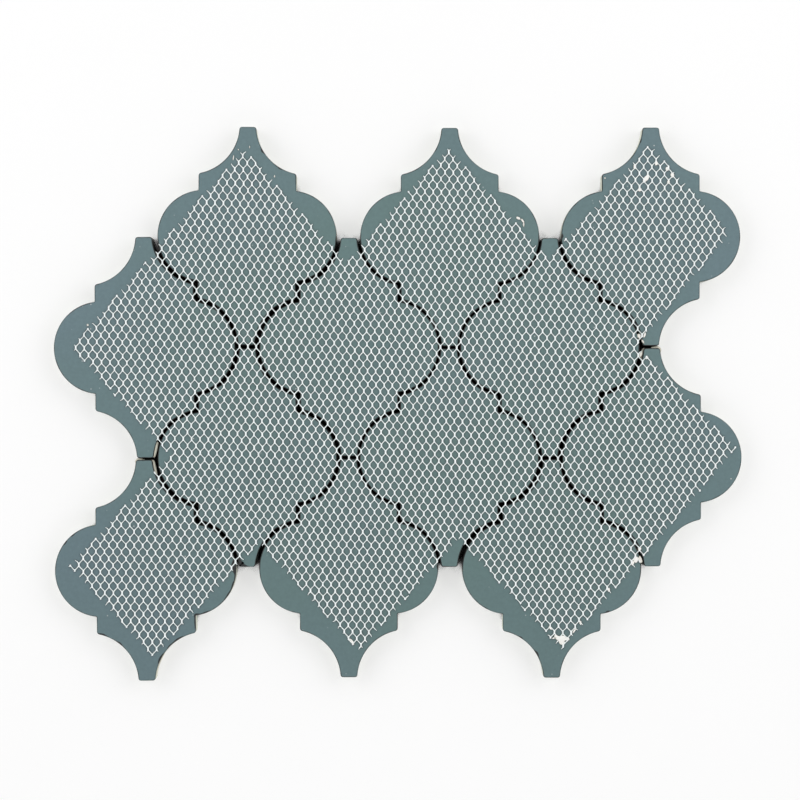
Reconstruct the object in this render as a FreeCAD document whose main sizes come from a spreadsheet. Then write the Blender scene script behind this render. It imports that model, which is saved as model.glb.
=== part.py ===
"""One sheet of arabesque (lantern-shaped) glass mosaic, mounted on a backing net.

The sheet is twelve equal tiles in four rows of three. Each row is moved half a pitch against the next, so that
the lobes of one tile lie in the hollows of its neighbours, with a grout joint of even width all round.
It lies face down: the glass faces are on z = 0, the painted backs are on z = tile_thickness, and the net is
glued on the backs. The origin is under the middle of the sheet, +X runs along the rows and +Y across them.
"""

import FreeCAD, Part
import math
import os

import Sketcher
from FreeCAD import Vector

# Millimetres, and degrees for the two slopes
SIZES = [
    ("column_pitch", 95.0, "middle to middle of two tiles beside each other in a row"),
    ("row_pitch", 52.0, "middle of one row to the middle of the next"),
    ("joint_width", 1.6, "grout joint between two tiles"),
    ("tab_width", 7.8, "flat end of the tab at the top and bottom of a tile"),
    ("step_height", 8.0, "straight step between a lobe and the hollow beyond it"),
    ("shoulder_round", 1.2, "radius of the corners between the steps and the hollows"),
    ("tab_bevel", 0.8, "cut across the two corners of a tab"),
    ("tile_thickness", 8.0, "glass with its paint"),
    ("net_margin", 9.0, "strip without net between the lattice line and the net's cut edge"),
    ("net_shift_right", 2.5, "how far the net was laid off the middle of the sheet, along +X"),
    ("net_shift_up", 1.2, "how far the net was laid off the middle of the sheet, along +Y"),
    ("strand_width", 0.6, "width of a net strand"),
    ("strand_thickness", 0.25, "thickness of a net strand"),
    ("falling_slope", 58.2, "slope of the strands that fall to the right"),
    ("falling_spacing", 3.21, "distance between two falling strands"),
    ("rising_slope", 58.6, "slope of the strands that rise to the right"),
    ("rising_spacing", 3.4, "distance between two rising strands"),
]

# The lattice: columns count half column pitches from the left tile of row 1, and rows count from the top.
# Each row is given by its tiles' columns, and the zigzag goes round all twelve, one lattice step outside them.
ROWS = [(0, 2, 4), (-1, 1, 3), (0, 2, 4), (-1, 1, 3)]
PLACES_IN_ROW = ("left", "middle", "right")
ZIGZAG = [
    (0, -1), (1, 0), (2, -1), (3, 0), (4, -1), (5, 0), (4, 1), (5, 2),
    (3, 4), (2, 3), (1, 4), (0, 3), (-1, 4), (-2, 3), (-1, 2), (-2, 1),
]
MIDDLE_COLUMN = sum(column for column, row in ZIGZAG) / len(ZIGZAG)
MIDDLE_ROW = sum(row for column, row in ZIGZAG) / len(ZIGZAG)

# The middle line of every joint is one curve, repeated: a lobe's arc, a straight step, and the same arc turned
# over. A tile's edge lies half a joint inside that line, so the joints stay even whatever the sizes are.
# The strands of the net are as long as the sheet's diagonal before they are cut.
DERIVED = [
    ("step_x", "Sizes.column_pitch / 4"),
    ("step_y", "(Sizes.row_pitch - Sizes.step_height) / 2"),
    ("lobe_tip", "(Sizes.column_pitch - Sizes.tab_width - Sizes.joint_width) / 2"),
    ("lobe_centre", "(.lobe_tip ^ 2 - .step_x ^ 2 - .step_y ^ 2) / (2 * (.lobe_tip - .step_x))"),
    ("arc_radius", ".lobe_tip - .lobe_centre"),
    ("diagonal", f"sqrt(({len(ROWS)} * Sizes.column_pitch) ^ 2 + ({len(ROWS) + 1} * Sizes.row_pitch) ^ 2)"),
]

# The four ways to mirror a quarter of a tile, as the signs of x and y
QUARTERS = [(1, 1), (-1, 1), (-1, -1), (1, -1)]

# How a sketch numbers its own axes and the points of a line or an arc
X_AXIS, Y_AXIS, ORIGIN = -1, -2, (-1, 1)
START, END, CENTRE = range(1, 4)


def size_of(expression):
    """The number that an expression over the sizes gives."""
    return float(derived.evalExpression(expression))


def lattice_x(column):
    """The x of a lattice column, as an expression."""
    return f"Sizes.column_pitch / 2 * ({column - MIDDLE_COLUMN})"


def lattice_y(row):
    """The y of a lattice row, as an expression."""
    return f"Sizes.row_pitch * ({MIDDLE_ROW - row})"


def constrain(sketch, kind, *geometry):
    """Add a constraint without a number to a sketch."""
    sketch.addConstraint(Sketcher.Constraint(kind, *geometry))


def dimension(sketch, name, expression, kind, *geometry):
    """Add a named dimension to a sketch and let it follow an expression over the sizes."""
    index = sketch.addConstraint(Sketcher.Constraint(kind, *geometry, size_of(expression)))
    sketch.renameConstraint(index, name)
    sketch.setExpression(f"Constraints.{name}", expression)


def body_with_sketch(name):
    """A body that may hold several solids, and a sketch on its XY plane."""
    body = doc.addObject("PartDesign::Body", name)
    body.AllowCompound = True
    plane = next(feature for feature in body.Origin.OriginFeatures if feature.Role == "XY_Plane")
    sketch = body.newObject("Sketcher::SketchObject", f"{name}_sketch")
    sketch.AttachmentSupport = [(plane, "")]
    sketch.MapMode = "FlatFace"
    return body, sketch


def draw_tile(sketch):
    """A tile's outline: two lobes, four steps, four hollows and two tabs, symmetric about both axes."""
    half_joint = size_of("Sizes.joint_width / 2")
    hollow_x = size_of("Sizes.column_pitch / 2 - Derived.lobe_centre")
    hollow_y = size_of("Sizes.row_pitch")
    hollow_radius = derived.arc_radius + half_joint
    lobe_radius = derived.arc_radius - half_joint
    step_x = derived.step_x - half_joint
    tab_y = hollow_y - half_joint
    lobe_angle = math.acos((step_x - derived.lobe_centre) / lobe_radius)
    shoulder_y = hollow_y - math.sqrt(hollow_radius ** 2 - (hollow_x - step_x) ** 2)
    tab_x = hollow_x - math.sqrt(hollow_radius ** 2 - half_joint ** 2)
    up = Vector(0, 0, 1)

    lobes, tabs, steps, hollows = {}, {}, {}, {}
    for side, middle_angle in ((1, 0), (-1, math.pi)):
        circle = Part.Circle(Vector(side * derived.lobe_centre, 0, 0), up, lobe_radius)
        arc = Part.ArcOfCircle(circle, middle_angle - lobe_angle, middle_angle + lobe_angle)
        lobes[side] = sketch.addGeometry(arc)
        tab = Part.LineSegment(Vector(-tab_x, side * tab_y, 0), Vector(tab_x, side * tab_y, 0))
        tabs[side] = sketch.addGeometry(tab)
    for side, end in QUARTERS:
        lobe_end = Vector(side * step_x, end * lobe_radius * math.sin(lobe_angle), 0)
        shoulder = Vector(side * step_x, end * shoulder_y, 0)
        tab_corner = Vector(side * tab_x, end * tab_y, 0)
        steps[side, end] = sketch.addGeometry(Part.LineSegment(lobe_end, shoulder))
        circle = Part.Circle(Vector(side * hollow_x, end * hollow_y, 0), up, hollow_radius)
        angles = [circle.parameter(point) for point in (tab_corner, shoulder)][::side * end]
        hollows[side, end] = sketch.addGeometry(Part.ArcOfCircle(circle, *angles))

    for side, end in QUARTERS:
        tab_point, shoulder_point = (START, END) if side == end else (END, START)
        lobe_point = END if side == end else START
        constrain(sketch, "Coincident", steps[side, end], START, lobes[side], lobe_point)
        constrain(sketch, "Coincident", steps[side, end], END, hollows[side, end], shoulder_point)
        constrain(sketch, "Coincident", hollows[side, end], tab_point, tabs[end], END if side > 0 else START)
        constrain(sketch, "Vertical", steps[side, end])
        corner = ("right" if side > 0 else "left") + ("_top" if end > 0 else "_bottom")
        across = [ORIGIN, (steps[side, end], START)][::side]
        dimension(sketch, f"step_{corner}", "Derived.step_x - Sizes.joint_width / 2",
                  "DistanceX", *across[0], *across[1])
    for end in (1, -1):
        constrain(sketch, "Horizontal", tabs[end])
        along = [ORIGIN, (tabs[end], START)][::end]
        dimension(sketch, "tab_top" if end > 0 else "tab_bottom", "Sizes.row_pitch - Sizes.joint_width / 2",
                  "DistanceY", *along[0], *along[1])

    constrain(sketch, "PointOnObject", lobes[1], CENTRE, X_AXIS)
    constrain(sketch, "Symmetric", lobes[1], CENTRE, lobes[-1], CENTRE, Y_AXIS)
    constrain(sketch, "Equal", lobes[1], lobes[-1])
    dimension(sketch, "lobe_radius", "Derived.arc_radius - Sizes.joint_width / 2", "Radius", lobes[1])
    dimension(sketch, "lobe_centre", "Derived.lobe_centre", "DistanceX", *ORIGIN, lobes[1], CENTRE)

    constrain(sketch, "Symmetric", hollows[1, 1], CENTRE, hollows[-1, 1], CENTRE, Y_AXIS)
    constrain(sketch, "Symmetric", hollows[1, 1], CENTRE, hollows[1, -1], CENTRE, X_AXIS)
    constrain(sketch, "Symmetric", hollows[-1, 1], CENTRE, hollows[-1, -1], CENTRE, X_AXIS)
    for quarter in QUARTERS[1:]:
        constrain(sketch, "Equal", hollows[1, 1], hollows[quarter])
    dimension(sketch, "hollow_radius", "Derived.arc_radius + Sizes.joint_width / 2", "Radius", hollows[1, 1])
    dimension(sketch, "hollow_x", "Sizes.column_pitch / 2 - Derived.lobe_centre",
              "DistanceX", *ORIGIN, hollows[1, 1], CENTRE)
    dimension(sketch, "hollow_y", "Sizes.row_pitch", "DistanceY", *ORIGIN, hollows[1, 1], CENTRE)


def upright_edges(feature, at_the_steps):
    """The names of a tile's convex upright edges, either those at the steps or those of the tabs."""
    half_row = size_of("Sizes.row_pitch / 2")
    names = []
    for number, edge in enumerate(feature.Shape.Edges, start=1):
        upright = abs(edge.tangentAt(edge.FirstParameter).z) > 0.5
        middle = edge.CenterOfMass
        if upright and abs(middle.y) > half_row and (abs(middle.x) > derived.step_x / 2) == at_the_steps:
            names.append(f"Edge{number}")
    return names


def make_tile(name, column, row):
    """One glass tile. Its corners are blunt all the way through, as they come out of the mould."""
    body, sketch = body_with_sketch(name)
    draw_tile(sketch)

    plate = body.newObject("PartDesign::Pad", f"{name}_plate")
    plate.Profile = sketch
    plate.setExpression("Length", "Sizes.tile_thickness")
    doc.recompute()

    shoulders = body.newObject("PartDesign::Fillet", f"{name}_shoulders")
    shoulders.Base = (plate, upright_edges(plate, True))
    shoulders.setExpression("Radius", "Sizes.shoulder_round")
    doc.recompute()

    tabs = body.newObject("PartDesign::Chamfer", f"{name}_tabs")
    tabs.Base = (shoulders, upright_edges(shoulders, False))
    tabs.setExpression("Size", "Sizes.tab_bevel")
    body.Tip = tabs

    body.setExpression(".Placement.Base.x", lattice_x(column))
    body.setExpression(".Placement.Base.y", lattice_y(row))
    return body


def net_blank():
    """What the net is cut to: a thick sheet inside the zigzag, its edge net_margin in from the lattice line."""
    zigzag = doc.addObject("Sketcher::SketchObject", "net_zigzag")
    points = [Vector(size_of(lattice_x(column)), size_of(lattice_y(row)), 0) for column, row in ZIGZAG]
    for start, end in zip(points, points[1:] + points[:1]):
        zigzag.addGeometry(Part.LineSegment(start, end))
    for number, (column, row) in enumerate(ZIGZAG):
        constrain(zigzag, "Coincident", number, START, (number - 1) % len(ZIGZAG), END)
        dimension(zigzag, f"x_{number}", lattice_x(column), "DistanceX", *ORIGIN, number, START)
        dimension(zigzag, f"y_{number}", lattice_y(row), "DistanceY", *ORIGIN, number, START)

    cut_line = doc.addObject("Part::Offset2D", "net_cut_line")
    cut_line.Source = zigzag
    cut_line.Join = "Intersection"
    cut_line.setExpression("Value", "-Sizes.net_margin")

    blank = doc.addObject("Part::Extrusion", "net_blank")
    blank.Base = cut_line
    blank.Dir = Vector(0, 0, 1)
    blank.Solid = True
    blank.setExpression("LengthFwd", "2 * Sizes.strand_thickness")
    blank.setExpression(".Placement.Base.x", "Sizes.net_shift_right")
    blank.setExpression(".Placement.Base.y", "Sizes.net_shift_up")
    blank.setExpression(".Placement.Base.z", "Sizes.tile_thickness")
    return blank


def make_strands(family, turn, ply, blank):
    """One ply of the net: parallel strands, the middle one through the net's middle, cut to the blank."""
    name = f"{family}_strands"
    body, sketch = body_with_sketch(name)
    corners = [Vector(x, y, 0) for x, y in ((-1, -1), (1, -1), (1, 1), (-1, 1))]
    for start, end in zip(corners, corners[1:] + corners[:1]):
        sketch.addGeometry(Part.LineSegment(start, end))
    for number in range(4):
        constrain(sketch, "Coincident", number, END, (number + 1) % 4, START)
    constrain(sketch, "Symmetric", 0, START, 0, END, Y_AXIS)
    constrain(sketch, "Vertical", 1)
    constrain(sketch, "Horizontal", 2)
    constrain(sketch, "Vertical", 3)
    spacing = f"Sizes.{family}_spacing"
    strands_each_side = f"ceil(Derived.diagonal / 2 / {spacing})"
    dimension(sketch, "length", "Derived.diagonal", "DistanceX", 0, START, 0, END)
    dimension(sketch, "width", "Sizes.strand_width", "DistanceY", 1, START, 1, END)
    dimension(sketch, "first_strand", f"-{strands_each_side} * {spacing} - Sizes.strand_width / 2",
              "DistanceY", *ORIGIN, 0, START)
    sketch.setExpression(".AttachmentOffset.Rotation.Angle", f"{turn} * Sizes.{family}_slope")

    strand = body.newObject("PartDesign::Pad", f"{name}_first")
    strand.Profile = sketch
    strand.Refine = False
    strand.setExpression("Length", "Sizes.strand_thickness")

    strands = body.newObject("PartDesign::LinearPattern", f"{name}_side_by_side")
    strands.Originals = [strand]
    strands.Direction = (sketch, ["V_Axis"])
    strands.Mode = "Spacing"
    strands.Refine = False
    strands.setExpression("Offset", spacing)
    strands.setExpression("Occurrences", f"2 * {strands_each_side} + 1")
    body.Tip = strands
    body.setExpression(".Placement.Base.x", "Sizes.net_shift_right")
    body.setExpression(".Placement.Base.y", "Sizes.net_shift_up")
    body.setExpression(".Placement.Base.z", f"Sizes.tile_thickness + {ply} * Sizes.strand_thickness")

    net_ply = doc.addObject("Part::Common", f"net_{family}_strands")
    net_ply.Base = body
    net_ply.Tool = blank
    return net_ply


doc = FreeCAD.newDocument("arabesque_sheet")
sheet = doc.addObject("Spreadsheet::Sheet", "Sizes")
for line, (alias, value, meaning) in enumerate(SIZES, start=1):
    sheet.set(f"A{line}", alias)
    sheet.set(f"B{line}", str(value))
    sheet.setAlias(f"B{line}", alias)
    sheet.set(f"C{line}", meaning)
doc.recompute()
derived = doc.addObject("App::VarSet", "Derived")
for name, expression in DERIVED:
    derived.addProperty("App::PropertyFloat", name)
    derived.setExpression(name, expression)
    doc.recompute()

sub_parts = [
    make_tile(f"tile_row{row + 1}_{place}", column, row)
    for row, columns in enumerate(ROWS)
    for place, column in zip(PLACES_IN_ROW, columns)
]
blank = net_blank()
sub_parts.append(make_strands("falling", -1, 0, blank))
sub_parts.append(make_strands("rising", 1, 1, blank))
doc.recompute()

for feature in doc.Objects:
    if {"Invalid", "Error"} & set(feature.State):
        raise RuntimeError(f"{feature.Label} did not compute: {feature.State}")
for sub_part in sub_parts:
    if sub_part.Shape.isNull() or not sub_part.Shape.isValid():
        raise RuntimeError(f"{sub_part.Label} has no valid shape")

os.makedirs("parts", exist_ok=True)
for sub_part in sub_parts:
    sub_part.Shape.exportStep(f"parts/{sub_part.Label}.step")
    print(sub_part.Label, len(sub_part.Shape.Solids), round(sub_part.Shape.Volume, 1))
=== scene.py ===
"""The arabesque mosaic sheet as it lies in the photograph: glass faces down, painted backs and net up.

Everything is in metres in the frame of the CAD. Sizes are written in millimetres and turned with MM.
"""

import math
import random

import bpy
from mathutils import Matrix, Vector, noise
from mathutils.kdtree import KDTree


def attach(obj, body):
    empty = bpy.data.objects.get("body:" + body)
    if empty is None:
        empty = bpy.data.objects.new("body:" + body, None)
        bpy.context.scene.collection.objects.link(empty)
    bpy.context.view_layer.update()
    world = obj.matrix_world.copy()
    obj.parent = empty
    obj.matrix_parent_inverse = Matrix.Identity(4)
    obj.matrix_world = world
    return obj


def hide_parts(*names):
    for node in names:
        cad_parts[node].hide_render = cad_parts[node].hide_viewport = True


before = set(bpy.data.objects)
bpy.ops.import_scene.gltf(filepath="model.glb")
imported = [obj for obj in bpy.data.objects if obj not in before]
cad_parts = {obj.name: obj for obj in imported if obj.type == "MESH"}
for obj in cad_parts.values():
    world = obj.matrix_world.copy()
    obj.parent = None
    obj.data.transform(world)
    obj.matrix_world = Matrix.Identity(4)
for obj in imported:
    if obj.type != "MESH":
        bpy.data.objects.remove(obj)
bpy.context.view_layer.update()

MM = 0.001


# The twelve tiles

# Each is one pressed piece of pale glass, 8 mm thick, with a ground rim and a polished face. Its back is
# covered with a grey-green enamel that seals the colour. They lie face down, 1.6 mm apart, and nothing but
# the net on their backs holds them together.

COLUMN_PITCH = 95.0
ROW_PITCH = 52.0
JOINT = 1.6
TAB_WIDTH = 7.8
STEP_HEIGHT = 8.0
THICKNESS = 8.0
# The middle line of a joint is an arc, a straight step and the same arc turned over
STEP_X = COLUMN_PITCH / 4
STEP_Y = (ROW_PITCH - STEP_HEIGHT) / 2
LOBE_TIP = (COLUMN_PITCH - TAB_WIDTH - JOINT) / 2
LOBE_CENTRE = (LOBE_TIP ** 2 - STEP_X ** 2 - STEP_Y ** 2) / (2 * (LOBE_TIP - STEP_X))
ARC_RADIUS = LOBE_TIP - LOBE_CENTRE

# Lattice columns of the tiles in each row, counted in half pitches, and the names of their places
TILE_ROWS = [(0, 2, 4), (-1, 1, 3), (0, 2, 4), (-1, 1, 3)]
PLACES = ("left", "middle", "right")
MIDDLE = 1.5            # the lattice column and row in the middle of the sheet
# How far each tile lies off the even lattice, as it was set by hand: right, up, and its turn in degrees
STRAYS = [
    (0.20, 0.08, -0.45), (0.28, -0.42, 0.0), (-0.44, -0.25, 0.0),
    (-0.36, -0.22, 0.45), (0.55, 0.0, 0.09), (-0.26, -0.07, 0.0),
    (0.35, 0.08, -0.08), (0.03, 0.06, 0.10), (0.15, 0.33, 0.07),
    (0.15, -0.69, 0.75), (0.42, 0.32, 0.12), (0.60, 0.10, 0.0),
]
# Row and place of the two tiles that are a little larger than the others, and how much
LARGER = {(1, 0): 1.013, (3, 0): 1.012}

BLUNT_CORNER = 1.3      # how far the rounding of the shoulders and the tab's corners reaches
INNER_CORNER = 0.45     # the same in the notch between a step and a lobe
EDGE_STEP = 0.9         # distance between two points of the outline
NEXT_TILE_REACH = 1.6   # how near to a joint's far side the next tile's outline comes
SHARPEST_SMOOTH = 35    # edges up to this angle, in degrees, are shaded smooth
# The rim from the glass face to the back: how far in from the outline, how high, and the finish below it
GLASS, RIM, EDGE, PAINT = range(4)
RIM_PROFILE = [
    (0.70, 0.00, GLASS), (0.33, 0.09, GLASS), (0.09, 0.33, GLASS), (0.00, 0.72, GLASS),
    (0.00, 7.60, RIM), (0.04, 7.84, EDGE), (0.13, 7.97, EDGE), (0.24, 8.00, EDGE),
]
PAINT_EDGE = 0.44       # the enamel ends this far in from the outline, more or less
PAINT_WANDER = 0.10     # how much more or less, and how long its waves are
WANDER_LENGTH = 2.5
CHIP_VISIBLE = 0.05     # where a chip is deeper than this, the glass is drawn black as painted shade
# Places on the sheet where the enamel has chipped off the edge: x, y, reach along the edge, depth
CHIPS = [
    (-64.0, 117.9, 1.6, 0.8), (-55.4, 109.9, 1.0, 0.5), (65.0, -117.4, 2.0, 0.8), (57.5, -110.0, 1.2, 0.6),
    (98.2, -98.2, 1.4, 0.7), (76.0, 78.0, 1.5, 0.9), (-75.2, -76.9, 4.5, 2.6), (18.7, -77.0, 1.2, 0.6),
    (113.2, 122.8, 1.0, 0.5), (-76.0, -80.0, 3.5, 0.25), (-77.7, -85.5, 2.6, 0.5), (-79.9, -90.2, 3.5, 0.3),
    (-90.7, -98.1, 3.0, 0.4), (-94.8, -99.8, 2.4, 0.6), (-94.6, -102.9, 3.6, 0.35),
    (-103.9, -110.7, 3.6, 0.55), (-107.0, -113.4, 3.0, 0.35), (-111.9, -119.9, 3.0, 0.8),
    (-138.8, -109.1, 2.6, 0.5), (-130.6, -112.9, 1.8, 0.6), (-156.1, -65.9, 1.6, 0.4),
    (-152.9, -62.1, 1.4, 0.35),
]


def arc(centre, radius, start, end, cut_start, cut_end):
    """Points along a circle from one angle to another, less what rounded corners take off the ends."""
    way = math.copysign(1.0, end - start)
    start += way * cut_start / radius
    end -= way * cut_end / radius
    count = round(abs(end - start) * radius / EDGE_STEP)
    angles = [start + (end - start) * n / count for n in range(count + 1)]
    return [Vector((centre[0] + radius * math.cos(a), centre[1] + radius * math.sin(a))) for a in angles]


def line(start, end, cut_start, cut_end):
    """The same for a straight line."""
    length = (end - start).length
    count = max(1, round((length - cut_start - cut_end) / EDGE_STEP))
    places = [cut_start + (length - cut_start - cut_end) * n / count for n in range(count + 1)]
    return [start.lerp(end, place / length) for place in places]


def corner(before, tip, after):
    """The points of a rounded corner between two runs."""
    return [before.lerp(tip, t).lerp(tip.lerp(after, t), t) for t in (0.2, 0.4, 0.6, 0.8)]


def tile_outline():
    """A tile's edge, anticlockwise: one quarter, from the tab's middle to the lobe's tip, mirrored."""
    half = JOINT / 2
    hollow = Vector((COLUMN_PITCH / 2 - LOBE_CENTRE, ROW_PITCH))
    hollow_radius = ARC_RADIUS + half
    lobe = Vector((LOBE_CENTRE, 0.0))
    lobe_radius = ARC_RADIUS - half
    step_x = STEP_X - half
    tab = Vector((hollow.x - math.sqrt(hollow_radius ** 2 - half ** 2), ROW_PITCH - half))
    shoulder = Vector((step_x, hollow.y - math.sqrt(hollow_radius ** 2 - (hollow.x - step_x) ** 2)))
    notch = Vector((step_x, math.sqrt(lobe_radius ** 2 - (step_x - lobe.x) ** 2)))

    def angle(point, centre):
        return math.atan2(point.y - centre.y, point.x - centre.x)

    runs = [
        line(Vector((0.0, tab.y)), tab, 0.0, BLUNT_CORNER),
        arc(hollow, hollow_radius, angle(tab, hollow), angle(shoulder, hollow), BLUNT_CORNER, BLUNT_CORNER),
        line(shoulder, notch, BLUNT_CORNER, INNER_CORNER),
        arc(lobe, lobe_radius, angle(notch, lobe), 0.0, INNER_CORNER, 0.0),
    ]
    quarter = list(runs[0])
    for tip, run in zip((tab, shoulder, notch), runs[1:]):
        quarter += corner(quarter[-1], tip, run[0]) + run
    loop = []
    for sign_x, sign_y in ((1, 1), (1, -1), (-1, -1), (-1, 1)):
        points = [Vector((sign_x * p.x, sign_y * p.y)) for p in quarter]
        loop += (points if sign_x == sign_y else points[::-1])[:-1]
    return loop[::-1]


def outward(loop):
    """The direction out of the tile at each point of its outline."""
    result = []
    for before, here, after in zip(loop[-1:] + loop[:-1], loop, loop[1:] + loop[:1]):
        along = (here - before).normalized() + (after - here).normalized()
        result.append(Vector((along.y, -along.x)).normalized())
    return result


def new_piece(name, points, faces, finishes, of_face):
    """A mesh piece of points in millimetres and faces with their finishes, smooth where they turn gently."""
    mesh = bpy.data.meshes.new(name)
    mesh.from_pydata([Vector(p) * MM for p in points], [], faces)
    for finish in finishes:
        mesh.materials.append(finish)
    mesh.polygons.foreach_set("material_index", of_face)
    mesh.shade_smooth()
    mesh.set_sharp_from_angle(angle=math.radians(SHARPEST_SMOOTH))
    mesh.update()
    piece = bpy.data.objects.new(name, mesh)
    bpy.context.scene.collection.objects.link(piece)
    return piece


def add(material, kind, inputs=None, **settings):
    """A node of that kind with its settings. Each input is a value, or the output that is linked to it."""
    made = material.node_tree.nodes.new(kind)
    for name, value in settings.items():
        setattr(made, name, value)
    for socket, value in (inputs or {}).items():
        if isinstance(value, bpy.types.NodeSocket):
            material.node_tree.links.new(value, made.inputs[socket])
        else:
            made.inputs[socket].default_value = value
    return made


def linear(code):
    """An sRGB hex colour as the linear colour that the shaders take."""
    parts = [int(code[i:i + 2], 16) / 255 for i in (1, 3, 5)]
    return [c / 12.92 if c <= 0.04045 else ((c + 0.055) / 1.055) ** 2.4 for c in parts] + [1.0]


def finish_named(name):
    """An empty material that is built from nodes."""
    material = bpy.data.materials.new(name)
    material.use_nodes = True
    material.node_tree.nodes.clear()
    return material


def per_metre(millimetres):
    """The scale of a pattern whose features are that many millimetres across."""
    return 1 / (millimetres * MM)


def painted_back():
    """Grey-green enamel, sprayed on and baked: smooth and half matt, greener under the glue of the net."""
    m = finish_named("enamel_half_matt_grey_green")
    place = add(m, "ShaderNodeTexCoord").outputs["Object"]
    cloud = add(m, "ShaderNodeTexNoise", {"Vector": place, "Scale": per_metre(60), "Detail": 2.0})
    tone = add(m, "ShaderNodeMapRange", {"Value": cloud.outputs["Fac"], "From Min": 0.35, "From Max": 0.65,
                                         "To Min": -0.2, "To Max": 0.2})
    # The glue's thin film covers the middle of the sheet and ends with the net
    from_middle = add(m, "ShaderNodeVectorMath", {0: place, 1: (10 * MM, -8 * MM, THICKNESS * MM)},
                      operation="DISTANCE").outputs["Value"]
    film = add(m, "ShaderNodeMapRange", {"Value": from_middle, "From Min": 105 * MM, "From Max": 155 * MM,
                                         "To Min": 0.85, "To Max": 0.15})
    green = add(m, "ShaderNodeMath", {0: film.outputs[0], 1: tone.outputs[0]},
                operation="ADD", use_clamp=True)
    coat = add(m, "ShaderNodeMix", {"Factor": green.outputs[0], "A": linear("#5F747A"),
                                    "B": linear("#5C7473")}, data_type="RGBA")
    # Mottling of the spray, 1.5 mm across, and flecks of glue dust, 4 mm apart, few of them plain to see
    mottle = add(m, "ShaderNodeTexNoise", {"Vector": place, "Scale": per_metre(1.5), "Detail": 3.0})
    shade = add(m, "ShaderNodeMapRange", {"Value": mottle.outputs["Fac"], "To Min": 0.86, "To Max": 1.14})
    # Painted shade: the enamel is drawn darker towards the bottom of the sheet, as the light falls off there
    up_the_sheet = add(m, "ShaderNodeSeparateXYZ", {"Vector": place}).outputs["Y"]
    painted_falloff = add(m, "ShaderNodeMapRange", {"Value": up_the_sheet, "From Min": -120 * MM, "From Max": 40 * MM,
                                         "To Min": 0.94, "To Max": 1.04})
    shade = add(m, "ShaderNodeMath", {0: shade.outputs[0], 1: painted_falloff.outputs[0]}, operation="MULTIPLY")
    toned = add(m, "ShaderNodeMix", {"Factor": 1.0, "A": coat.outputs["Result"], "B": shade.outputs[0]},
                data_type="RGBA", blend_type="MULTIPLY")
    # Painted shade: a darker line, 0.4 mm wide, beside each strand, drawn where the net's ambient occlusion
    # says the enamel lies sheltered
    open_air = add(m, "ShaderNodeAmbientOcclusion", {"Distance": 1.6 * MM}, samples=8).outputs["AO"]
    painted_strand_shade = add(m, "ShaderNodeMapRange", {"Value": open_air, "From Min": 0.74, "From Max": 0.91,
                                           "To Min": 0.15, "To Max": 1.0})
    toned = add(m, "ShaderNodeMix", {"Factor": 1.0, "A": toned.outputs["Result"], "B": painted_strand_shade.outputs[0]},
                data_type="RGBA", blend_type="MULTIPLY")
    dust = add(m, "ShaderNodeTexVoronoi", {"Vector": place, "Scale": per_metre(4.0)})
    fleck = add(m, "ShaderNodeMapRange", {"Value": dust.outputs["Distance"],
                                          "From Min": 0.05, "From Max": 0.10, "To Min": 0.9, "To Max": 0.0})
    chance = add(m, "ShaderNodeSeparateColor", {"Color": dust.outputs["Color"]}).outputs["Red"]
    rare = add(m, "ShaderNodeMath", {0: chance, 1: 4.0}, operation="POWER")
    plain = add(m, "ShaderNodeMath", {0: fleck.outputs[0], 1: rare.outputs[0]}, operation="MULTIPLY")
    speckled = add(m, "ShaderNodeMix", {"Factor": plain.outputs[0], "A": toned.outputs["Result"],
                                        "B": linear("#C4C6C4")}, data_type="RGBA")
    gloss = add(m, "ShaderNodeMapRange", {"Value": mottle.outputs["Fac"], "To Min": 0.42, "To Max": 0.56})
    relief = add(m, "ShaderNodeBump", {"Height": mottle.outputs["Fac"], "Strength": 0.25,
                                       "Distance": 0.02 * MM})
    shader = add(m, "ShaderNodeBsdfPrincipled", {
        "Base Color": speckled.outputs["Result"], "Roughness": gloss.outputs[0], "IOR": 1.5,
        "Normal": relief.outputs["Normal"]})
    add(m, "ShaderNodeOutputMaterial", {"Surface": shader.outputs[0]})
    return m


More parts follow.
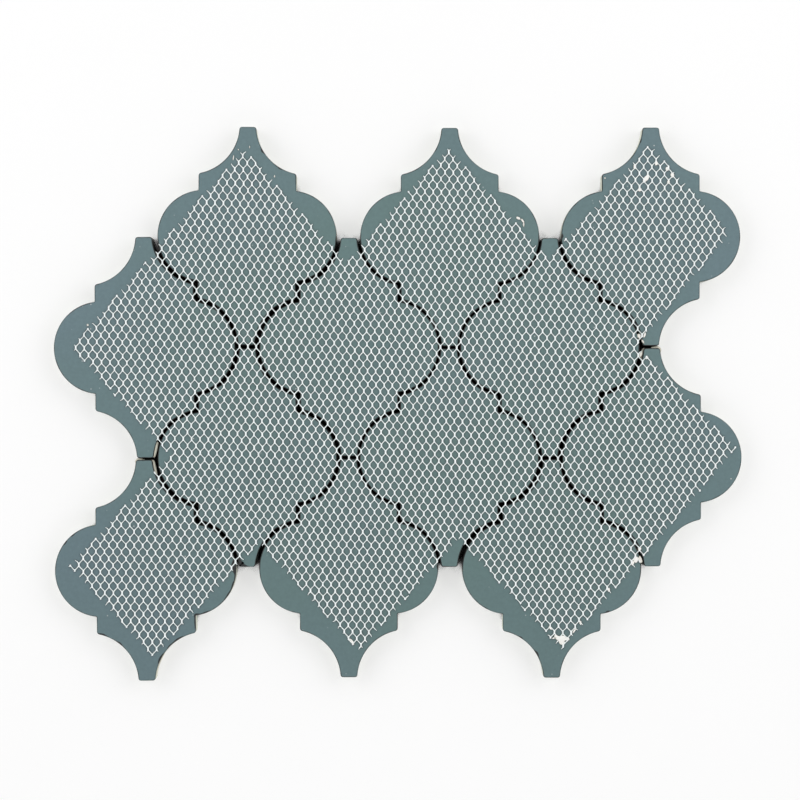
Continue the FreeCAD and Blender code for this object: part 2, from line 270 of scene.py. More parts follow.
def ground_rim():
    """Pale glass, ground: a satin, cream rim with fine streaks, and painted shade, nearly black, where it
    faces the next rim.
    """
    m = finish_named("glass_ground_rim")
    place = add(m, "ShaderNodeTexCoord").outputs["Object"]
    # Grinding marks run round the rim, so the grain is drawn out along it: 0.25 mm high and 6 mm long
    drawn = add(m, "ShaderNodeMapping", {"Vector": place, "Scale": (1.0, 1.0, 24.0)})
    marks = add(m, "ShaderNodeTexNoise", {"Vector": drawn.outputs[0], "Scale": per_metre(6.0), "Detail": 4.0})
    cream = add(m, "ShaderNodeMix", {"Factor": marks.outputs["Fac"], "A": linear("#B9BDAA"),
                                     "B": linear("#D6D8C8")}, data_type="RGBA")
    # Dark overspray reaches down the rim from the back, 0.9 mm in most places and up to 3.4 mm in some
    runs = add(m, "ShaderNodeTexNoise", {"Vector": place, "Scale": per_metre(14), "Detail": 3.0})
    lowest = add(m, "ShaderNodeMapRange", {
        "Value": runs.outputs["Fac"], "From Min": 0.44, "From Max": 0.70,
        "To Min": (THICKNESS - 0.9) * MM, "To Max": (THICKNESS - 3.4) * MM})
    level = add(m, "ShaderNodeSeparateXYZ", {"Vector": place}).outputs["Z"]
    over = add(m, "ShaderNodeMath", {0: level, 1: lowest.outputs[0]}, operation="SUBTRACT")
    sprayed = add(m, "ShaderNodeMapRange", {"Value": over.outputs[0], "From Min": -0.5 * MM,
                                            "From Max": 0.5 * MM})
    cream = add(m, "ShaderNodeMix", {"Factor": sprayed.outputs[0], "A": cream.outputs["Result"],
                                     "B": linear("#3B4846")}, data_type="RGBA")
    # Painted shade: the glass takes its light from around it, and where it faces the next rim across a closed
    # joint it is drawn nearly black
    open_air = add(m, "ShaderNodeAmbientOcclusion", {"Distance": 9 * MM}, samples=8).outputs["AO"]
    lit = add(m, "ShaderNodeMapRange", {"Value": open_air, "From Min": 0.32, "From Max": 0.46})
    colour = add(m, "ShaderNodeMix", {"Factor": lit.outputs[0], "A": linear("#0A120F"),
                                      "B": cream.outputs["Result"]}, data_type="RGBA")
    relief = add(m, "ShaderNodeBump", {"Height": marks.outputs["Fac"], "Strength": 0.4,
                                       "Distance": 0.03 * MM})
    shader = add(m, "ShaderNodeBsdfPrincipled", {
        "Base Color": colour.outputs["Result"], "Roughness": 0.42, "IOR": 1.5,
        "Normal": relief.outputs["Normal"]})
    add(m, "ShaderNodeOutputMaterial", {"Surface": shader.outputs[0]})
    return m


def dark_edge():
    """The glass edge where the enamel thins out: a narrow, nearly black green line round every back, darkened
    in part as painted shade.
    """
    m = finish_named("glass_bare_edge")
    place = add(m, "ShaderNodeTexCoord").outputs["Object"]
    patches = add(m, "ShaderNodeTexNoise", {"Vector": place, "Scale": per_metre(5.0), "Detail": 3.0})
    tone = add(m, "ShaderNodeMapRange", {"Value": patches.outputs["Fac"], "From Min": 0.38, "From Max": 0.56})
    thin = add(m, "ShaderNodeMix", {"Factor": tone.outputs[0], "A": linear("#222C2A"),
                                    "B": linear("#4C5F5F")}, data_type="RGBA")
    # Painted shade: beside a joint, and where the enamel has chipped off further in, the glass is drawn black
    painted_shade = add(m, "ShaderNodeAttribute", attribute_name="painted_shade").outputs["Fac"]
    colour = add(m, "ShaderNodeMix", {"Factor": painted_shade, "A": thin.outputs["Result"], "B": linear("#0E1312")},
                 data_type="RGBA")
    shader = add(m, "ShaderNodeBsdfPrincipled", {"Base Color": colour.outputs["Result"], "Roughness": 0.35,
                                                 "IOR": 1.5})
    add(m, "ShaderNodeOutputMaterial", {"Surface": shader.outputs[0]})
    return m


def glass_face():
    """The polished face: deep gloss over a cream colour, with the slow waves of pressed glass."""
    m = finish_named("glass_polished_face")
    place = add(m, "ShaderNodeTexCoord").outputs["Object"]
    cloud = add(m, "ShaderNodeTexNoise", {"Vector": place, "Scale": per_metre(25), "Detail": 3.0})
    colour = add(m, "ShaderNodeMix", {"Factor": cloud.outputs["Fac"], "A": linear("#C6CBBB"),
                                      "B": linear("#DADCCD")}, data_type="RGBA")
    waves = add(m, "ShaderNodeTexNoise", {"Vector": place, "Scale": per_metre(12), "Detail": 1.0})
    relief = add(m, "ShaderNodeBump", {"Height": waves.outputs["Fac"], "Strength": 0.5,
                                       "Distance": 0.05 * MM})
    shader = add(m, "ShaderNodeBsdfPrincipled", {
        "Base Color": colour.outputs["Result"], "Roughness": 0.06, "IOR": 1.52, "Coat Weight": 0.4,
        "Coat Roughness": 0.03, "Normal": relief.outputs["Normal"]})
    add(m, "ShaderNodeOutputMaterial", {"Surface": shader.outputs[0]})
    return m


outline = tile_outline()
directions = outward(outline)
tile_finishes = [glass_face(), ground_rim(), dark_edge(), painted_back()]


def chip_depth(x, y):
    """How much further in the enamel is chipped off there."""
    return max(depth * max(0.0, 1 - math.hypot(x - chip_x, y - chip_y) / reach)
               for chip_x, chip_y, reach, depth in CHIPS)


def paint_inset(x, y):
    """How far in from the outline the enamel ends at that place on the sheet."""
    wander = PAINT_WANDER * noise.noise(Vector((x, y, 0.0)) / WANDER_LENGTH)
    return PAINT_EDGE + wander + chip_depth(x, y)


def laid_outline(row, place):
    """A tile's outline where it lies on the sheet, as pairs of a point and the direction out of the tile."""
    right, up, degrees = STRAYS[len(PLACES) * row + place]
    column = TILE_ROWS[row][place]
    middle = Vector((COLUMN_PITCH / 2 * (column - MIDDLE) + right, ROW_PITCH * (MIDDLE - row) + up))
    turn = Matrix.Rotation(math.radians(degrees), 2)
    size = LARGER.get((row, place), 1.0)
    return [(middle + turn @ here * size, turn @ out) for here, out in zip(outline, directions)]


def beside_joint(number, here, out):
    """1 where a tile's edge faces another tile across a joint, 0 where it is free."""
    across = here + out * JOINT
    near = all_edges.find_range((across.x, across.y, 0.0), NEXT_TILE_REACH)
    return float(any(index // len(outline) != number for _, index, _ in near))


def make_tile(name, number):
    """One tile: its rim in rings from the face to the back, the glass face and the enamelled back."""
    edge = laid_edges[number]
    count = len(edge)
    rings = RIM_PROFILE + [(None, THICKNESS, EDGE)]     # the last one runs where the enamel ends
    points, faces, of_face = [], [], []
    for inset, height, _ in rings:
        for here, out in edge:
            spot = here - out * (paint_inset(here.x, here.y) if inset is None else inset)
            points.append((spot.x, spot.y, height))
    for ring, (_, _, finish) in enumerate(rings[1:]):
        low, high = ring * count, (ring + 1) * count
        for n in range(count):
            after = (n + 1) % count
            faces.append((low + n, low + after, high + after, high + n))
            of_face.append(finish)
    faces.append(tuple(range(count))[::-1])
    of_face.append(GLASS)
    faces.append(tuple(range((len(rings) - 1) * count, len(rings) * count)))
    of_face.append(PAINT)
    piece = new_piece(f"{name}_glass", points, faces, tile_finishes, of_face)
    # Painted shade: the edge is drawn black beside a joint and at the deeper chips
    dark = [beside_joint(number, here, out) for here, out in edge] * len(rings)
    dark = [max(shaded, float(chip_depth(x, y) > CHIP_VISIBLE)) for shaded, (x, y, _) in zip(dark, points)]
    painted_shade = piece.data.attributes.new("painted_shade", "FLOAT", "POINT")
    painted_shade.data.foreach_set("value", dark)
    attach(piece, "root")
    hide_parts(name)


laid_edges = [laid_outline(row, place)
              for row in range(len(TILE_ROWS)) for place in range(len(PLACES))]
all_edges = KDTree(len(laid_edges) * len(outline))
for number, edge in enumerate(laid_edges):
    for n, (here, _) in enumerate(edge):
        all_edges.insert((here.x, here.y, 0.0), number * len(outline) + n)
all_edges.balance()
for number in range(len(laid_edges)):
    row, place = divmod(number, len(PLACES))
    make_tile(f"tile_row{row + 1}_{PLACES[place]}", number)


# The backing net

# A white plastic net with six-sided openings, about 3.9 x 3.2 mm from one to the next, glued on the backs.
# Short upright bars carry two thin slanting strands at each end. It was cut by hand in a zigzag along the
# tiles, so that cut strands stand out of its edge. The mesh is one fused skin, made in three bands.

NET_ORIGIN = Vector((-72.80, 114.45))
TO_LOWER_RIGHT = Vector((2.0007, -3.2217))      # from one upright bar to the next
TO_UPPER_RIGHT = Vector((1.8618, 3.0724))
BAR_HALF_LENGTH = 0.56
BAR_HALF_WIDTH = 0.38
STRAND_HALF_WIDTH = 0.235
NET_HEIGHT = 0.5
UPPER_CROSSING_HEIGHT = 0.44
STRAND_HEIGHT = 0.38
SHOULDER_WIDTH, SHOULDER_HEIGHT = 0.78, 0.62    # of the width and the height of a strand
BAR_ROOT = 0.43         # half widths where the strands run together
STRAND_ROOT = 0.29
NET_DRIFT = 0.07        # how far a crossing strays from the even net
DRAG_X, DRAG_Y = 150, 120           # the scale of the net's drag across the sheet and up it
UNEVEN_SCALE, UNEVEN_GAIN = 0.83, 1.6       # of the noise that tells one strand from the next
LENGTH_UNEVEN, WIDTH_UNEVEN = 0.08, 0.12    # shares of a bar's length and of a width
BANDS = ("top", "middle", "bottom")
ROWS_IN_BAND = 25
# Bars along each of the net's two directions, and the rows and columns of them that cover the sheet
BAR_NUMBERS = range(-120, 121)
FIRST_ROW, LAST_ROW = -12, 84
FIRST_COLUMN, LAST_COLUMN = -50, 130
NET_SEED = 11
CUT_HALVINGS = 6        # steps in the search for the place where a strand was cut
CUT_WAVER = 0.12        # how far the scissors waver, as a share of a strand
SHORTEST_CUT, LONGEST_CUT = 0.1, 0.9
CUT_TIP = 0.6           # width of a cut strand's tip, as a share of the strand's
CUT_SWAY = 0.25         # how far a cut strand bends aside
NEARLY_PARALLEL = 0.1   # below this sine of their turn, two edges of the cut don't meet in a corner
# The zigzag on the tiles' lattice, in single steps from the top left, and how far in from each step's start
# and end the net was cut
ZIGZAG = [
    (0, -1), (1, 0), (2, -1), (3, 0), (4, -1), (5, 0), (4, 1), (5, 2), (4, 3),
    (3, 4), (2, 3), (1, 4), (0, 3), (-1, 4), (-2, 3), (-1, 2), (-2, 1), (-1, 0),
]
CUT_MARGINS = [
    (8.4, 8.4), (7.7, 6.5), (7.2, 7.9), (6.3, 5.3), (6.9, 6.8), (9.3, 6.0),
    (4.5, 2.6), (9.1, 6.7), (6.6, 5.7), (13.5, 12.9), (6.0, 4.9), (13.1, 12.4),
    (4.0, 4.4), (9.9, 9.6), (8.0, 7.9), (9.5, 9.1), (9.7, 8.3), (7.3, 6.8),
]


def cut_line():
    """The corners of the net: where the zigzag's edges meet once each is moved in by its margin."""
    corners = [Vector((COLUMN_PITCH / 2 * (column - MIDDLE), ROW_PITCH * (MIDDLE - row)))
               for column, row in ZIGZAG]
    edges = []
    for start, end, (margin_start, margin_end) in zip(corners, corners[1:] + corners[:1], CUT_MARGINS):
        inward = Vector((end.y - start.y, start.x - end.x)).normalized()
        cut_start, cut_end = start + inward * margin_start, end + inward * margin_end
        edges.append((cut_start, cut_end, (cut_end - cut_start).normalized()))
    points = []
    for (_, before_end, before), (start, _, along) in zip(edges[-1:] + edges[:-1], edges):
        turn = along.cross(before)
        if abs(turn) < NEARLY_PARALLEL:
            points += [before_end, start]
        else:
            points.append(start + along * ((before_end - start).cross(before) / turn))
    return points


def inside(point, polygon):
    """True if a point lies inside a polygon."""
    result = False
    for a, b in zip(polygon, polygon[1:] + polygon[:1]):
        if (a.y > point.y) != (b.y > point.y) and point.x < a.x + (point.y - a.y) * (b.x - a.x) / (b.y - a.y):
            result = not result
    return result


def cut_share(start, end):
    """How far along a strand the cut went through it, as a share of its length. Scissors waver a little."""
    low, high = 0.0, 1.0
    for _ in range(CUT_HALVINGS):
        middle = (low + high) / 2
        if inside(start.lerp(end, middle), net_cut):
            low = middle
        else:
            high = middle
    return min(LONGEST_CUT, max(SHORTEST_CUT, low + cut_wavering.uniform(-CUT_WAVER, CUT_WAVER)))


def neighbours(crossing):
    """The three crossings next to one, anticlockwise. A crossing is a bar's upper (1) or lower (-1) end."""
    i, j, end = crossing
    if end > 0:
        return [(i, j + 1, -1), (i - 1, j, -1), (i, j, -1)]
    return [(i, j, 1), (i, j - 1, 1), (i + 1, j, 1)]


def uneven(spot, seed):
    """A number from about -1 to 1 that differs from one strand to the next."""
    return UNEVEN_GAIN * noise.noise(Vector((spot.x * UNEVEN_SCALE, spot.y * UNEVEN_SCALE, seed)))


def bar_middle(i, j):
    """The middle of an upright bar. The soft net was dragged a little out of true as it was glued down."""
    even = NET_ORIGIN + TO_LOWER_RIGHT * i + TO_UPPER_RIGHT * j
    u, v = even.x / DRAG_X, even.y / DRAG_Y
    return even + Vector((
        -1.34 * u + 3.37 * u ** 3 - 0.7 * u ** 4 - 1.3 * u ** 5 + 1.16 * u * v ** 2 - 0.46 * u ** 3 * v,
        0.2 * u - 0.68 * u ** 2 - 0.61 * u * v + 0.45 * v ** 2 - 0.67 * u * v ** 3 + 2.0 * u ** 2 * v ** 3,
    ))


def crossing_place(crossing):
    """Where a crossing lies on the sheet."""
    i, j, end = crossing
    middle = bar_middle(i, j)
    drift = Vector((uneven(middle, 1.5), uneven(middle, 2.5))) * NET_DRIFT
    upright = (TO_UPPER_RIGHT - TO_LOWER_RIGHT).normalized()
    length = 1 + LENGTH_UNEVEN * uneven(middle, 3.5 + end)
    return middle + drift + upright * end * BAR_HALF_LENGTH * length


def crossing_height(crossing):
    """The height of the net at a crossing: the strands meet lower at the top of a bar than at its bottom."""
    return UPPER_CROSSING_HEIGHT if crossing[2] > 0 else NET_HEIGHT


def is_bar(here, there):
    """True if two crossings are the ends of one upright bar."""
    return here[:2] == there[:2]


def width_between(here, there, wide, narrow):
    """Half the width of a bar or of a strand, which varies a little from one to the next."""
    middle = (places[here] + places[there]) / 2
    return (wide if is_bar(here, there) else narrow) * (1 + WIDTH_UNEVEN * uneven(middle, 7.5))


def feet(crossing):
    """The three points where the sides of the strands at a crossing meet, each on the left of its strand."""
    here = places[crossing]
    ways = [(places[there] - here).normalized() for there in neighbours(crossing)]
    widths = [width_between(crossing, there, BAR_ROOT, STRAND_ROOT) for there in neighbours(crossing)]
    result = []
    for way_a, way_b, width_a, width_b in zip(ways, ways[1:] + ways[:1], widths, widths[1:] + widths[:1]):
        side_a, side_b = Vector((-way_a.y, way_a.x)), Vector((-way_b.y, way_b.x))
        gap = side_a * width_a + side_b * width_b
        result.append(here + side_a * width_a - way_a * (gap.cross(way_b) / way_a.cross(way_b)))
    return result


def net_band(band):
    """The points and faces of one band of the net, closed where the next band or a cut end follows."""
    points, faces = [], []

    def point(spot, height):
        points.append((spot.x, spot.y, THICKNESS + height))
        return len(points) - 1

    def section(left, middle, right, height):
        return [
            point(left, 0), point(middle.lerp(left, SHOULDER_WIDTH), height * SHOULDER_HEIGHT),
            point(middle, height),
            point(middle.lerp(right, SHOULDER_WIDTH), height * SHOULDER_HEIGHT), point(right, 0),
        ]

    def join(near, far):
        for n in range(len(near)):
            after = (n + 1) % len(near)
            faces.append((near[n], near[after], far[after], far[n]))

    crossings = [crossing for crossing in net if band_of(crossing) == band]
    hubs = {}
    for crossing in crossings:
        here = places[crossing]
        ridge = point(here, crossing_height(crossing))
        corners = [(point(foot, 0), point(here.lerp(foot, SHOULDER_WIDTH), NET_HEIGHT * SHOULDER_HEIGHT))
                   for foot in feet(crossing)]
        faces.append((corners[0][0], corners[2][0], corners[1][0]))
        hubs[crossing] = [[*corners[k], ridge, *corners[k - 1][::-1]] for k in range(3)]

    for crossing in crossings:
        here = places[crossing]
        for number, there in enumerate(neighbours(crossing)):
            first = hubs[crossing][number]
            if there in net and there < crossing:
                if band_of(there) != band:
                    faces.append(tuple(first))
                continue
            run = places[there] - here
            side = Vector((-run.y, run.x)).normalized()
            width = width_between(crossing, there, BAR_HALF_WIDTH, STRAND_HALF_WIDTH)
            height = NET_HEIGHT if is_bar(crossing, there) else STRAND_HEIGHT
            sway = Vector((0.0, 0.0))
            if is_bar(crossing, there):
                stops = [(0.5, width)]
            elif there in net:
                stops = [(0.28, width), (0.72, width)]
            else:
                length = cut_share(here, places[there])
                stops = [(0.5 * length, width), (length, CUT_TIP * width)]
                sway = side * cut_wavering.uniform(-CUT_SWAY, CUT_SWAY)
            for share, half in stops:
                middle = here + run * share + sway * math.sin(2 * math.pi * share)
                after = section(middle + side * half, middle, middle - side * half, height)
                join(first, after)
                first = after
            if there in hubs:
                join(first, hubs[there][neighbours(there).index(crossing)][::-1])
            elif there in net:
                corners = feet(there)
                k = neighbours(there).index(crossing)
                last = section(corners[k - 1], places[there], corners[k], crossing_height(there))
                join(first, last)
                faces.append(tuple(last))
            else:
                faces.append(tuple(first))
    return points, faces


def net_plastic():
    """White polypropylene, stretched: waxy and white where thick, and the enamel shows through where thin."""
    m = finish_named("polypropylene_white_net")
    place = add(m, "ShaderNodeTexCoord").outputs["Object"]
    dust = add(m, "ShaderNodeTexNoise", {"Vector": place, "Scale": per_metre(9), "Detail": 3.0})
    tone = add(m, "ShaderNodeMapRange", {"Value": dust.outputs["Fac"], "From Min": 0.3, "From Max": 0.7})
    thick = add(m, "ShaderNodeMix", {"Factor": tone.outputs[0], "A": linear("#F4F8F9"),
                                     "B": linear("#FCFDFE")}, data_type="RGBA")
    level = add(m, "ShaderNodeSeparateXYZ", {"Vector": place}).outputs["Z"]
    cover = add(m, "ShaderNodeMapRange", {"Value": level, "From Min": (THICKNESS + 0.15) * MM,
                                          "From Max": (THICKNESS + 0.45) * MM})
    colour = add(m, "ShaderNodeMix", {"Factor": cover.outputs[0], "A": linear("#DCE8E6"),
                                      "B": thick.outputs["Result"]}, data_type="RGBA")
    drawn = add(m, "ShaderNodeTexNoise", {"Vector": place, "Scale": per_metre(0.4), "Detail": 2.0})
    gloss = add(m, "ShaderNodeMapRange", {"Value": drawn.outputs["Fac"], "To Min": 0.38, "To Max": 0.55})
    relief = add(m, "ShaderNodeBump", {"Height": drawn.outputs["Fac"], "Strength": 0.2,
                                       "Distance": 0.03 * MM})
    shader = add(m, "ShaderNodeBsdfPrincipled", {
        "Base Color": colour.outputs["Result"], "Roughness": gloss.outputs[0], "IOR": 1.49,
        "Normal": relief.outputs["Normal"]})
    add(m, "ShaderNodeOutputMaterial", {"Surface": shader.outputs[0]})
    return m


def band_of(crossing):
    """The band of the net that a crossing is made in, from its row of bars."""
    return max(0, min(len(BANDS) - 1, (crossing[0] - crossing[1]) // ROWS_IN_BAND))


net_cut = cut_line()
places = {(i, j, end): crossing_place((i, j, end))
          for i in BAR_NUMBERS for j in BAR_NUMBERS for end in (-1, 1)
          if FIRST_ROW <= i - j <= LAST_ROW and FIRST_COLUMN <= i + j <= LAST_COLUMN}
net = {crossing for crossing, spot in places.items() if inside(spot, net_cut)}
net = {crossing for crossing in net if any(there in net for there in neighbours(crossing))}
cut_wavering = random.Random(NET_SEED)
net_finish = net_plastic()
for band, band_name in enumerate(BANDS):
    net_points, net_faces = net_band(band)
    piece = new_piece(f"net_{band_name}", net_points, net_faces, [net_finish], [0] * len(net_faces))
    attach(piece, "root")
    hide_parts("net_falling_strands", "net_rising_strands")


# The glue

# White glue that was squeezed out through the net and dried in flat dabs, with a few specks and streaks on
# the bare backs where it was wiped off.

# Middle, width, length, turn in degrees and height of each dab
DABS = [
    (76.4, -110.8, 5.2, 3.0, 0, 0.48), (76.7, -112.4, 2.8, 2.4, 10, 0.46),
    (73.9, -109.7, 1.5, 2.2, 40, 0.46), (79.2, -110.7, 2.3, 1.4, -30, 0.44),
    (72.7, -110.5, 1.4, 0.7, 20, 0.42), (82.4, -107.1, 0.8, 2.4, -33, 0.48),
    (71.2, -105.7, 1.1, 2.1, 30, 0.48), (85.3, -103.3, 1.0, 2.1, 10, 0.48),
    (116.1, 105.0, 2.0, 4.5, -36, 0.48), (113.1, 99.8, 1.7, 1.7, 0, 0.48),
    (110.8, 110.5, 1.3, 2.3, 0, 0.48), (120.9, 112.1, 1.5, 2.1, 0, 0.48),
    (126.0, 109.5, 1.6, 2.0, 15, 0.48), (128.4, 106.6, 1.7, 2.3, 20, 0.48),
    (126.6, 103.3, 1.3, 1.7, 0, 0.48), (112.8, 31.1, 1.6, 2.5, 15, 0.26),
    (115.4, 31.6, 0.9, 2.6, -20, 0.34), (114.6, 28.6, 0.8, 2.2, 30, 0.22),
    (113.6, 22.5, 1.2, 2.6, -20, 0.20), (116.5, 20.9, 1.6, 1.1, 30, 0.32),
    (111.3, -73.8, 2.3, 3.0, -35, 0.48), (109.8, -75.3, 1.4, 2.3, -20, 0.46),
    (113.4, -73.8, 1.6, 3.5, 15, 0.24), (113.1, -68.6, 1.6, 1.6, 0, 0.46),
    (-21.8, -112.2, 1.3, 3.3, 36, 0.42), (98.6, -87.8, 1.2, 1.9, 0, 0.48),
    (56.2, 86.4, 2.3, 1.2, -20, 0.36), (58.2, 85.2, 0.9, 2.2, 35, 0.34), (58.7, 83.4, 0.7, 2.1, 0, 0.30),
    (-69.8, 119.8, 0.4, 1.1, 0, 0.26), (-75.1, 118.5, 0.5, 0.7, 20, 0.24),
    (-77.4, 114.8, 0.5, 2.6, -8, 0.30), (-58.1, 106.0, 0.5, 1.1, 0, 0.26),
    (-145.7, 36.3, 0.9, 1.1, 0, 0.24), (96.8, 105.2, 0.7, 0.7, 0, 0.26),
]
DAB_POINTS = 26
# A dab's rings, from its foot to its top, as shares of its size and of its height
DAB_RINGS = [(1.0, 0.0), (0.94, 0.45), (0.78, 0.8), (0.5, 0.96), (0.2, 1.0)]
# How much its outline swells, and the circle, level and scale of the noise that says where
DAB_UNEVEN = 0.28
SWELL_RADIUS, SWELL_LEVEL, SWELL_SCALE = 1.3, 4.0, 1.7
# Painted light: white strips in the glue's finish along a tile's rim at the open end of a joint, where the
# wall catches light. Row and place of the tile, middle of the strip, its reach, width and height
LIT_RIM_STRIPS = [
    (1, 0, -113.4, -22.0, 4.2, 1.15, 7.7), (3, 0, -113.7, -30.6, 4.2, 1.1, 7.3),
    (2, 2, 113.6, 22.6, 3.4, 0.9, 6.9), (3, 0, -112.7, -122.6, 6.4, 0.5, 7.4),
    (2, 2, 121.0, 25.2, 2.7, 1.0, 7.2), (3, 0, -121.4, -27.4, 2.6, 0.9, 7.2),
]
# A strip's section: share of its width away from the rim, and how far below its top
STRIP_SECTION = [(-0.08, 0.0), (0.45, 0.06), (0.85, 0.35), (1.0, 0.9), (-0.08, 1.2)]


def dab(points, faces, x, y, width, length, turn, height):
    """One dried dab of glue: a low uneven mound."""
    cosine, sine = math.cos(math.radians(turn)), math.sin(math.radians(turn))
    first = len(points)
    for share, level in DAB_RINGS:
        for n in range(DAB_POINTS):
            angle = 2 * math.pi * n / DAB_POINTS
            across, along = math.cos(angle), math.sin(angle)
            spot = Vector((x + SWELL_RADIUS * across, y + SWELL_RADIUS * along, SWELL_LEVEL))
            swell = 1 + DAB_UNEVEN * noise.noise(spot * SWELL_SCALE)
            u = width / 2 * share * swell * across
            v = length / 2 * share * swell * along
            points.append((x + u * cosine - v * sine, y + u * sine + v * cosine, THICKNESS + height * level))
    top = first + (len(DAB_RINGS) - 1) * DAB_POINTS
    for low in range(first, top, DAB_POINTS):
        high = low + DAB_POINTS
        for n in range(DAB_POINTS):
            after = (n + 1) % DAB_POINTS
            faces.append((low + n, low + after, high + after, high + n))
    faces.append(tuple(top + n for n in range(DAB_POINTS)))
    faces.append(tuple(first + n for n in reversed(range(DAB_POINTS))))


def lit_rim_strip(points, faces, row, place, x, y, reach, width, height):
    """Painted light on a tile's rim at the open end of a joint: a rounded white strip in the glue's finish
    along the outline.
    """
    near = [(here, out, math.hypot(here.x - x, here.y - y)) for here, out in laid_outline(row, place)]
    near = [(here, out, width * math.sqrt(1 - (away / reach) ** 2))
            for here, out, away in near if away < reach]
    first, count = len(points), len(STRIP_SECTION)
    for here, out, thick in near:
        for share, drop in STRIP_SECTION:
            spot = here + out * thick * share
            points.append((spot.x, spot.y, height - drop))
    last = first + count * (len(near) - 1)
    for low in range(first, last, count):
        high = low + count
        for k in range(count):
            after = (k + 1) % count
            faces.append((low + k, low + after, high + after, high + k))
    faces.append(tuple(first + k for k in reversed(range(count))))
    faces.append(tuple(last + k for k in range(count)))


def dried_glue():
    """White wood glue, dried: a satin skin, white where it stands high and a dusty cream where it is thin."""
    m = finish_named("glue_dried_white")
    place = add(m, "ShaderNodeTexCoord").outputs["Object"]
    lumps = add(m, "ShaderNodeTexNoise", {"Vector": place, "Scale": per_metre(1.2), "Detail": 3.0})
    clean = add(m, "ShaderNodeMix", {"Factor": lumps.outputs["Fac"], "A": linear("#ECEAE4"),
                                     "B": linear("#FBFAF8")}, data_type="RGBA")
    level = add(m, "ShaderNodeSeparateXYZ", {"Vector": place}).outputs["Z"]
    above = add(m, "ShaderNodeMapRange", {"Value": level, "From Min": (THICKNESS + 0.08) * MM,
                                          "From Max": (THICKNESS + 0.32) * MM})
    colour = add(m, "ShaderNodeMix", {"Factor": above.outputs[0], "A": linear("#CBC8B8"),
                                      "B": clean.outputs["Result"]}, data_type="RGBA")
    relief = add(m, "ShaderNodeBump", {"Height": lumps.outputs["Fac"], "Strength": 0.5, "Distance": 0.1 * MM})
    shader = add(m, "ShaderNodeBsdfPrincipled", {"Base Color": colour.outputs["Result"], "Roughness": 0.4,
                                                 "IOR": 1.47, "Normal": relief.outputs["Normal"]})
    add(m, "ShaderNodeOutputMaterial", {"Surface": shader.outputs[0]})
    return m


glue_points, glue_faces = [], []
for sizes in DABS:
    dab(glue_points, glue_faces, *sizes)
for run in LIT_RIM_STRIPS:
    lit_rim_strip(glue_points, glue_faces, *run)
glue = new_piece("glue_dabs_and_lit_strips", glue_points, glue_faces, [dried_glue()], [0] * len(glue_faces))
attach(glue, "root")


# The table

# A matt white board under the sheet, wide enough for every view.

BOARD_HALF = 8000.0
BOARD_DROP = 0.05       # below the glass faces, so that the two don't flicker into each other


def seen_directly(material):
    """1 for what the camera and polished or clear surfaces see, 0 for light on its way to the rest."""
    ray = add(material, "ShaderNodeLightPath")
    seen = ray.outputs["Is Camera Ray"]
    for kind in ("Is Glossy Ray", "Is Transmission Ray"):
        either = add(material, "ShaderNodeMath", {0: seen, 1: ray.outputs[kind]}, operation="MAXIMUM")
        seen = either.outputs[0]
    return seen


def white_board():
    """Matt white board: an even, chalky white that takes a soft shadow, with painted shade, nearly black,
    inside the joints.
    """
    m = finish_named("board_matt_white")
    place = add(m, "ShaderNodeTexCoord").outputs["Object"]
    grain = add(m, "ShaderNodeTexNoise", {"Vector": place, "Scale": per_metre(40), "Detail": 2.0})
    chalk = add(m, "ShaderNodeMix", {"Factor": grain.outputs["Fac"], "A": linear("#FCFCFC"),
                                     "B": linear("#FEFEFE")}, data_type="RGBA")
    # Painted shade: deep between two tiles, where hardly any light reaches the board, it is drawn nearly
    # black
    open_air = add(m, "ShaderNodeAmbientOcclusion", {"Distance": 12 * MM}, samples=16).outputs["AO"]
    reached = add(m, "ShaderNodeMapRange", {"Value": open_air, "From Min": 0.30, "From Max": 0.37})
    colour = add(m, "ShaderNodeMix", {"Factor": reached.outputs[0], "A": linear("#0C0A0A"),
                                      "B": chalk.outputs["Result"]}, data_type="RGBA")
    shader = add(m, "ShaderNodeBsdfPrincipled", {"Base Color": colour.outputs["Result"], "Roughness": 0.9,
                                                 "Specular IOR Level": 0.1})
    # The camera and polished surfaces see the open board half as bare white, so that its shadow stays faint
    faint = add(m, "ShaderNodeMath", {0: seen_directly(m), 1: reached.outputs[0]}, operation="MULTIPLY")
    half = add(m, "ShaderNodeMath", {0: faint.outputs[0], 1: 0.5}, operation="MULTIPLY")
    white = add(m, "ShaderNodeEmission", {"Color": (1.0, 1.0, 1.0, 1.0), "Strength": 1.0})
    both = add(m, "ShaderNodeMixShader", {0: half.outputs[0], 1: shader.outputs[0], 2: white.outputs[0]})
    add(m, "ShaderNodeOutputMaterial", {"Surface": both.outputs[0]})
    return m


board_corners = [(sx * BOARD_HALF, sy * BOARD_HALF, -BOARD_DROP)
                 for sx, sy in ((-1, -1), (1, -1), (1, 1), (-1, 1))]
new_piece("board", board_corners, [(0, 1, 2, 3)], [white_board()], [0])


# Light

# A white studio with light from all round, well above the table but not from straight overhead, where the
# camera hangs. The joints stay dark in it. What the camera and polished surfaces see of the room is white.

RING_LIGHT = 1.33
OVERHEAD_LIGHT = 0.04
RING_TOP, OVERHEAD_BOTTOM = 0.60, 0.86     # heights of a direction between which one turns into the other
SOFTBOX_POWER = 5.9
SOFTBOX_PLACE = (1.1, 0.5, 1.0)             # metres, one on each side
SOFTBOX_WIDTH, SOFTBOX_LENGTH = 1.0, 1.4

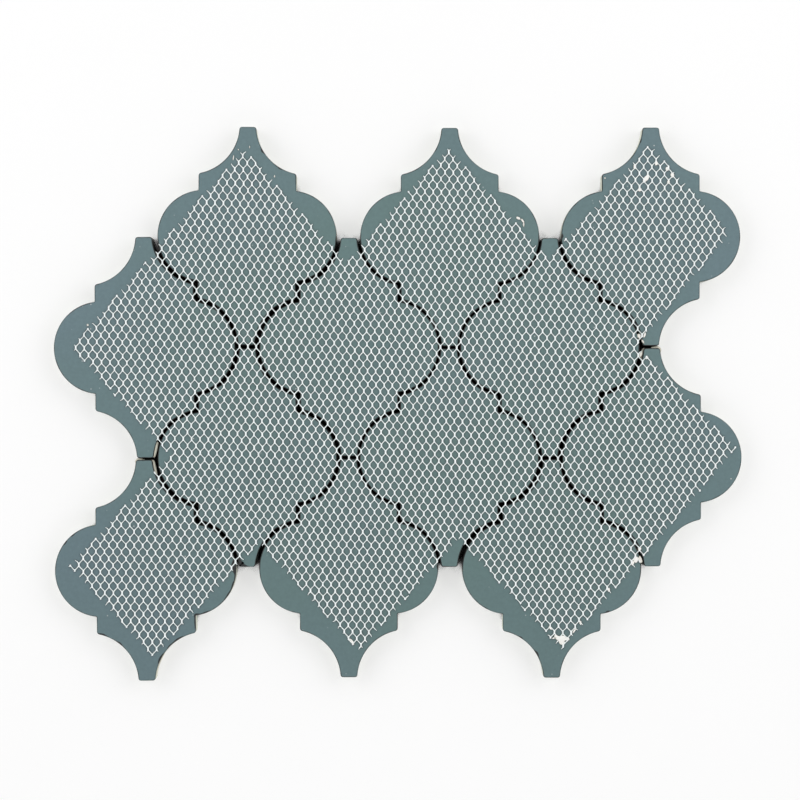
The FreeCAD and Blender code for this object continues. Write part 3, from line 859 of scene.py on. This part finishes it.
studio = bpy.data.worlds.new("studio")
bpy.context.scene.world = studio
studio.use_nodes = True
studio.node_tree.nodes.clear()
toward = add(studio, "ShaderNodeTexCoord").outputs["Generated"]
height = add(studio, "ShaderNodeSeparateXYZ", {"Vector": toward}).outputs["Z"]
ring = add(studio, "ShaderNodeMapRange", {"Value": height, "From Min": RING_TOP, "From Max": OVERHEAD_BOTTOM,
                                          "To Min": RING_LIGHT, "To Max": OVERHEAD_LIGHT},
           interpolation_type="SMOOTHSTEP")
lit = add(studio, "ShaderNodeBackground", {"Color": (1.0, 1.0, 1.0, 1.0), "Strength": ring.outputs[0]})
white = add(studio, "ShaderNodeBackground", {"Color": (1.0, 1.0, 1.0, 1.0), "Strength": 1.0})
room = add(studio, "ShaderNodeMixShader", {0: seen_directly(studio), 1: lit.outputs[0], 2: white.outputs[0]})
add(studio, "ShaderNodeOutputWorld", {"Surface": room.outputs[0]})

for side in (-1, 1):
    softbox_light = bpy.data.lights.new("softbox", "AREA")
    softbox_light.shape = "RECTANGLE"
    softbox_light.size, softbox_light.size_y = SOFTBOX_WIDTH, SOFTBOX_LENGTH
    softbox_light.energy = SOFTBOX_POWER
    softbox = bpy.data.objects.new("softbox", softbox_light)
    softbox.location = (side * SOFTBOX_PLACE[0], *SOFTBOX_PLACE[1:])
    softbox.rotation_euler = (-softbox.location).to_track_quat("-Z", "Y").to_euler()
    bpy.context.scene.collection.objects.link(softbox)


# Camera

# Straight above the sheet, a little right of and above its middle, as the photograph was taken.

CAMERA_RIGHT, CAMERA_UP, CAMERA_ABOVE = 0.71, 1.15, 870      # off the sheet's middle, and above its backs
LENS = 83.5

camera_data = bpy.data.cameras.new("camera")
camera_data.sensor_width = 36.0
camera_data.lens = LENS
camera_data.clip_start, camera_data.clip_end = 0.05, 20.0
camera = bpy.data.objects.new("camera", camera_data)
camera.location = (CAMERA_RIGHT * MM, CAMERA_UP * MM, (THICKNESS + CAMERA_ABOVE) * MM)
bpy.context.scene.collection.objects.link(camera)
bpy.context.scene.camera = camera
bpy.context.scene.view_settings.view_transform = "Standard"
